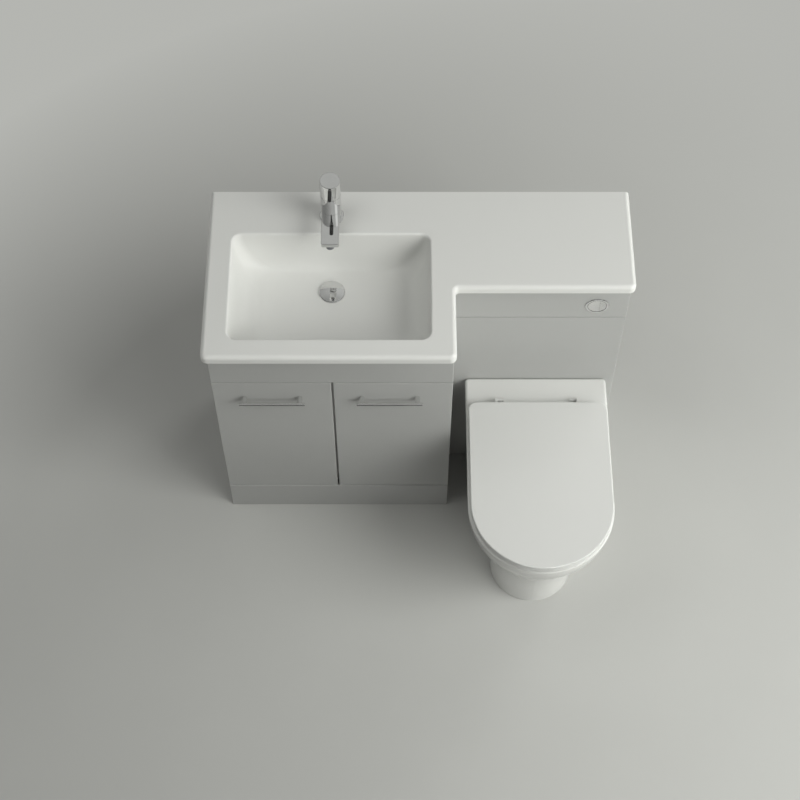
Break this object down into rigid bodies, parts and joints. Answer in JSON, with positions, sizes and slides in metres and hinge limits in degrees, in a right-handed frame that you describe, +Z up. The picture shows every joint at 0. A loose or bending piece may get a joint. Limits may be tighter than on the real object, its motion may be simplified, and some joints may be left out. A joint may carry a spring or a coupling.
{
  "type": "l-shaped combination vanity unit",
  "caption": "L-shaped bathroom unit: moulded basin worktop on a door cupboard, joined to a toilet unit with hidden cistern, flush button and back-to-wall toilet with seat and lid.",
  "frame": {"origin": "On the floor under the middle of the whole unit's box", "axes": "+X to the right, seen from the front, +Y towards the wall behind the unit, +Z up"},
  "size_m": [1, 0.787, 1.001],
  "materials": {
    "worktop": "satin",
    "front": "satin lacquer",
    "carcass": "matt foil",
    "ceramic": "gloss glaze",
    "seat_plastic": "gloss",
    "chrome": "polished",
    "button_plastic": "satin plated",
    "handle_metal": "satin",
    "steel": "zinc plated",
    "copper": "drawn",
    "valve_brass": "turned",
    "white_plastic": "moulded",
    "grey_plastic": "moulded",
    "rubber": "matt"
  },
  "bodies": {
    "unit": {"basin_top": "worktop", "vanity_fascia": "front", "vanity_plinth": "front", "wc_fascia": "front", "wc_front_panel": "front", "vanity_side_left": "carcass", "vanity_side_right": "carcass", "vanity_base": "carcass", "vanity_back_rail": "carcass", "vanity_front_rail": "carcass", "wc_side_left": "carcass", "wc_side_right": "carcass", "wc_back_rail": "carcass", "wc_cistern_shelf": "carcass", "toilet_pan": "ceramic", "seat_hinge_posts": "seat_plastic", "tap_body": "chrome", "tap_aerator": "chrome", "waste_body": "chrome", "button_bezel": "chrome", "left_hinge_arms": "steel", "right_hinge_arms": "steel", "corner_brackets": "steel", "unit_joining_bolts": "steel", "tap_fixings": "steel", "seat_hinge_pins": "steel", "copper_tails": "copper", "bottle_trap": "white_plastic", "waste_nuts": "white_plastic", "cistern_tank": "white_plastic", "cistern_lid": "white_plastic", "fill_valve": "white_plastic", "flush_valve": "white_plastic", "flush_pipe": "white_plastic", "soil_connector": "white_plastic", "panel_clips": "white_plastic", "pan_fixing_caps": "white_plastic", "button_housing": "grey_plastic", "air_tubes": "grey_plastic", "flush_cone": "rubber", "door_bumpers": "rubber"},
    "left_door": {"left_door": "front", "left_handle": "handle_metal", "left_handle_screws": "steel", "left_hinge_cups": "steel"},
    "right_door": {"right_door": "front", "right_handle": "handle_metal", "right_handle_screws": "steel", "right_hinge_cups": "steel"},
    "wc_seat": {"toilet_seat": "seat_plastic", "seat_buffers": "rubber"},
    "wc_lid": {"toilet_lid": "seat_plastic"},
    "tap_swivel": {"tap_cartridge": "valve_brass"},
    "tap_lever": {"tap_lever": "chrome"},
    "basin_plug": {"waste_plug": "chrome"},
    "full_button": {"full_flush_button": "button_plastic"},
    "half_button": {"half_flush_button": "button_plastic"},
    "flush_piston": {"flush_piston": "grey_plastic"},
    "fill_float": {"fill_float": "grey_plastic"}
  },
  "joints": [
    {"name": "left_door_hinge", "type": "hinge", "parent": "unit", "child": "left_door", "pos_m": [-0.494, 0.0015, 0.374], "axis": [0, 0, -1], "range_deg": [0, 95]},
    {"name": "right_door_hinge", "type": "hinge", "parent": "unit", "child": "right_door", "pos_m": [0.073, 0.0015, 0.374], "axis": [0, 0, 1], "range_deg": [0, 95]},
    {"name": "seat_hinge", "type": "hinge", "parent": "unit", "child": "wc_seat", "pos_m": [0.298, 0.083, 0.411], "axis": [1, 0, 0], "range_deg": [-90, 0]},
    {"name": "lid_hinge", "type": "hinge", "parent": "wc_seat", "child": "wc_lid", "pos_m": [0.298, 0.083, 0.411], "axis": [-1, 0, 0], "range_deg": [0, 90]},
    {"name": "tap_temperature_swivel", "type": "hinge", "parent": "unit", "child": "tap_swivel", "pos_m": [-0.2095, 0.3215, 0.95], "axis": [0, 0, 1], "range_deg": [-45, 45]},
    {"name": "tap_lever_lift", "type": "hinge", "parent": "tap_swivel", "child": "tap_lever", "pos_m": [-0.2095, 0.3215, 0.968], "axis": [-1, 0, 0], "range_deg": [0, 20]},
    {"name": "plug_slide", "type": "slide", "parent": "unit", "child": "basin_plug", "axis": [0, 0, 1], "range_m": [0, 0.008]},
    {"name": "full_flush_press", "type": "slide", "parent": "unit", "child": "full_button", "axis": [0, 1, 0], "range_m": [0, 0.006], "stiffness_N_per_m": 500},
    {"name": "half_flush_press", "type": "slide", "parent": "unit", "child": "half_button", "axis": [0, 1, 0], "range_m": [0, 0.006], "stiffness_N_per_m": 500},
    {"name": "flush_piston_lift", "type": "slide", "parent": "unit", "child": "flush_piston", "axis": [0, 0, 1], "range_m": [0, 0.018]},
    {"name": "fill_float_rise", "type": "slide", "parent": "unit", "child": "fill_float", "axis": [0, 0, 1], "range_m": [0, 0.045]}
  ],
  "couplings": [
    {"joint": "flush_piston_lift", "follows": "full_flush_press", "ratio": 3}
  ]
}
